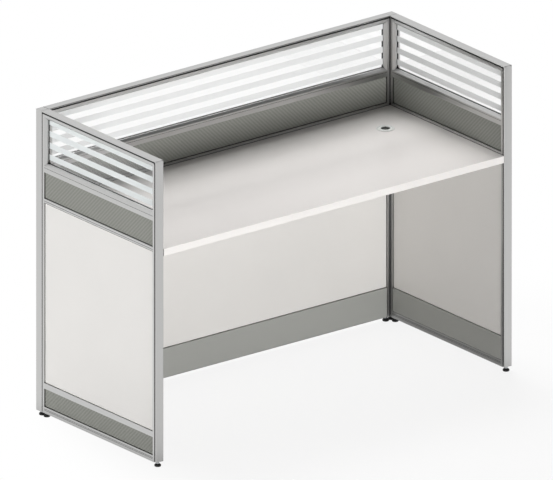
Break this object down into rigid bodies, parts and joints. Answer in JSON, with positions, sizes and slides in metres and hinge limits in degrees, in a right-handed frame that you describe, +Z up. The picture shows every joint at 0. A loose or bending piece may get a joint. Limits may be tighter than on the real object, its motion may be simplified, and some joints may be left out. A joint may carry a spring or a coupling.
{
  "type": "cubicle workstation",
  "caption": "Three-sided office cubicle: aluminium framed screens with striped glass round a laminate worktop with a cable grommet, on levelling feet.",
  "frame": {"origin": "on the floor at the centre of the footprint", "axes": "+Z up, +X to the right of a seated user who faces the back screen, +Y towards the back screen; the open front is at -Y"},
  "size_m": [1.464, 0.632, 1.058],
  "materials": {
    "anodised_aluminium": "extruded, satin silver anodised",
    "clear_glass": "clear float glass",
    "frosted_film": "frosted white film",
    "woven_tile": "fine diagonal weave over fibreboard",
    "board_laminate": "warm white laminate, satin",
    "worktop_laminate": "warm white laminate, satin",
    "edge_band": "warm white edge band",
    "coated_cover": "smooth grey coating",
    "coated_steel": "silver grey powder coat",
    "zinc_steel": "zinc plated",
    "black_rubber": "matt black rubber",
    "black_nylon": "moulded black nylon",
    "grey_plastic": "moulded pale grey ABS"
  },
  "bodies": {
    "root": {"back_stiles": "anodised_aluminium", "back_rails": "anodised_aluminium", "back_top_cap": "anodised_aluminium", "back_window_beads": "anodised_aluminium", "back_glass": "clear_glass", "back_tiles": "woven_tile", "back_base_tile": "woven_tile", "back_boards": "board_laminate", "left_stiles": "anodised_aluminium", "left_rails": "anodised_aluminium", "left_top_cap": "anodised_aluminium", "left_window_beads": "anodised_aluminium", "left_glass": "clear_glass", "left_tiles": "woven_tile", "left_base_tile": "woven_tile", "left_boards": "board_laminate", "right_stiles": "anodised_aluminium", "right_rails": "anodised_aluminium", "right_top_cap": "anodised_aluminium", "right_window_beads": "anodised_aluminium", "right_glass": "clear_glass", "right_tiles": "woven_tile", "right_base_tile": "woven_tile", "right_boards": "board_laminate", "left_corner_post": "anodised_aluminium", "right_corner_post": "anodised_aluminium", "corner_post_caps": "anodised_aluminium", "front_end_trims": "anodised_aluminium", "trim_corners": "anodised_aluminium", "frosted_strips": "frosted_film", "glazing_gaskets": "black_rubber", "worktop": "worktop_laminate", "worktop_edge_band": "edge_band", "worktop_brackets": "coated_steel", "wood_screws": "zinc_steel", "grommet_liner": "grey_plastic", "cover_clips": "black_nylon", "connector_bolts": "zinc_steel", "frame_screws": "zinc_steel", "foot_plugs": "black_nylon"},
    "back_cover": {"back_raceway_cover": "coated_cover"},
    "left_cover": {"left_raceway_cover": "coated_cover"},
    "right_cover": {"right_raceway_cover": "coated_cover"},
    "cap": {"grommet_cap": "grey_plastic"},
    "left_front_pad": {"left_front_foot_pad": "black_nylon"},
    "left_front_stem": {"left_front_foot_stem": "zinc_steel"},
    "left_rear_pad": {"left_rear_foot_pad": "black_nylon"},
    "left_rear_stem": {"left_rear_foot_stem": "zinc_steel"},
    "left_corner_pad": {"left_corner_foot_pad": "black_nylon"},
    "left_corner_stem": {"left_corner_foot_stem": "zinc_steel"},
    "back_left_pad": {"back_left_foot_pad": "black_nylon"},
    "back_left_stem": {"back_left_foot_stem": "zinc_steel"},
    "back_right_pad": {"back_right_foot_pad": "black_nylon"},
    "back_right_stem": {"back_right_foot_stem": "zinc_steel"},
    "right_corner_pad": {"right_corner_foot_pad": "black_nylon"},
    "right_corner_stem": {"right_corner_foot_stem": "zinc_steel"},
    "right_rear_pad": {"right_rear_foot_pad": "black_nylon"},
    "right_rear_stem": {"right_rear_foot_stem": "zinc_steel"},
    "right_front_pad": {"right_front_foot_pad": "black_nylon"},
    "right_front_stem": {"right_front_foot_stem": "zinc_steel"}
  },
  "joints": [
    {"name": "back_cover_pull", "type": "slide", "parent": "root", "child": "back_cover", "axis": [0, -1, 0], "range_m": [0, 0.012]},
    {"name": "left_cover_pull", "type": "slide", "parent": "root", "child": "left_cover", "axis": [1, 0, 0], "range_m": [0, 0.012]},
    {"name": "right_cover_pull", "type": "slide", "parent": "root", "child": "right_cover", "axis": [-1, 0, 0], "range_m": [0, 0.012]},
    {"name": "grommet_cap_lift", "type": "slide", "parent": "root", "child": "cap", "axis": [0, 0, 1], "range_m": [0, 0.03]},
    {"name": "left_front_foot_height", "type": "slide", "parent": "root", "child": "left_front_pad", "axis": [0, 0, 1], "range_m": [-0.01, 0]},
    {"name": "left_front_foot_turn", "type": "hinge", "parent": "left_front_pad", "child": "left_front_stem", "pos_m": [-0.716, -0.305, 0.013], "axis": [0, 0, 1], "range_deg": [-3600, 0]},
    {"name": "left_rear_foot_height", "type": "slide", "parent": "root", "child": "left_rear_pad", "axis": [0, 0, 1], "range_m": [-0.01, 0]},
    {"name": "left_rear_foot_turn", "type": "hinge", "parent": "left_rear_pad", "child": "left_rear_stem", "pos_m": [-0.716, 0.278, 0.013], "axis": [0, 0, 1], "range_deg": [-3600, 0]},
    {"name": "left_corner_foot_height", "type": "slide", "parent": "root", "child": "left_corner_pad", "axis": [0, 0, 1], "range_m": [-0.01, 0]},
    {"name": "left_corner_foot_turn", "type": "hinge", "parent": "left_corner_pad", "child": "left_corner_stem", "pos_m": [-0.71675, 0.30075, 0.013], "axis": [0, 0, 1], "range_deg": [-3600, 0]},
    {"name": "back_left_foot_height", "type": "slide", "parent": "root", "child": "back_left_pad", "axis": [0, 0, 1], "range_m": [-0.01, 0]},
    {"name": "back_left_foot_turn", "type": "hinge", "parent": "back_left_pad", "child": "back_left_stem", "pos_m": [-0.694, 0.3, 0.013], "axis": [0, 0, 1], "range_deg": [-3600, 0]},
    {"name": "back_right_foot_height", "type": "slide", "parent": "root", "child": "back_right_pad", "axis": [0, 0, 1], "range_m": [-0.01, 0]},
    {"name": "back_right_foot_turn", "type": "hinge", "parent": "back_right_pad", "child": "back_right_stem", "pos_m": [0.694, 0.3, 0.013], "axis": [0, 0, 1], "range_deg": [-3600, 0]},
    {"name": "right_corner_foot_height", "type": "slide", "parent": "root", "child": "right_corner_pad", "axis": [0, 0, 1], "range_m": [-0.01, 0]},
    {"name": "right_corner_foot_turn", "type": "hinge", "parent": "right_corner_pad", "child": "right_corner_stem", "pos_m": [0.71675, 0.30075, 0.013], "axis": [0, 0, 1], "range_deg": [-3600, 0]},
    {"name": "right_rear_foot_height", "type": "slide", "parent": "root", "child": "right_rear_pad", "axis": [0, 0, 1], "range_m": [-0.01, 0]},
    {"name": "right_rear_foot_turn", "type": "hinge", "parent": "right_rear_pad", "child": "right_rear_stem", "pos_m": [0.716, 0.278, 0.013], "axis": [0, 0, 1], "range_deg": [-3600, 0]},
    {"name": "right_front_foot_height", "type": "slide", "parent": "root", "child": "right_front_pad", "axis": [0, 0, 1], "range_m": [-0.01, 0]},
    {"name": "right_front_foot_turn", "type": "hinge", "parent": "right_front_pad", "child": "right_front_stem", "pos_m": [0.716, -0.305, 0.013], "axis": [0, 0, 1], "range_deg": [-3600, 0]}
  ],
  "couplings": [
    {"joint": "left_front_foot_turn", "follows": "left_front_foot_height", "rad_per_m": 6283.2},
    {"joint": "left_rear_foot_turn", "follows": "left_rear_foot_height", "rad_per_m": 6283.2},
    {"joint": "left_corner_foot_turn", "follows": "left_corner_foot_height", "rad_per_m": 6283.2},
    {"joint": "back_left_foot_turn", "follows": "back_left_foot_height", "rad_per_m": 6283.2},
    {"joint": "back_right_foot_turn", "follows": "back_right_foot_height", "rad_per_m": 6283.2},
    {"joint": "right_corner_foot_turn", "follows": "right_corner_foot_height", "rad_per_m": 6283.2},
    {"joint": "right_rear_foot_turn", "follows": "right_rear_foot_height", "rad_per_m": 6283.2},
    {"joint": "right_front_foot_turn", "follows": "right_front_foot_height", "rad_per_m": 6283.2}
  ]
}
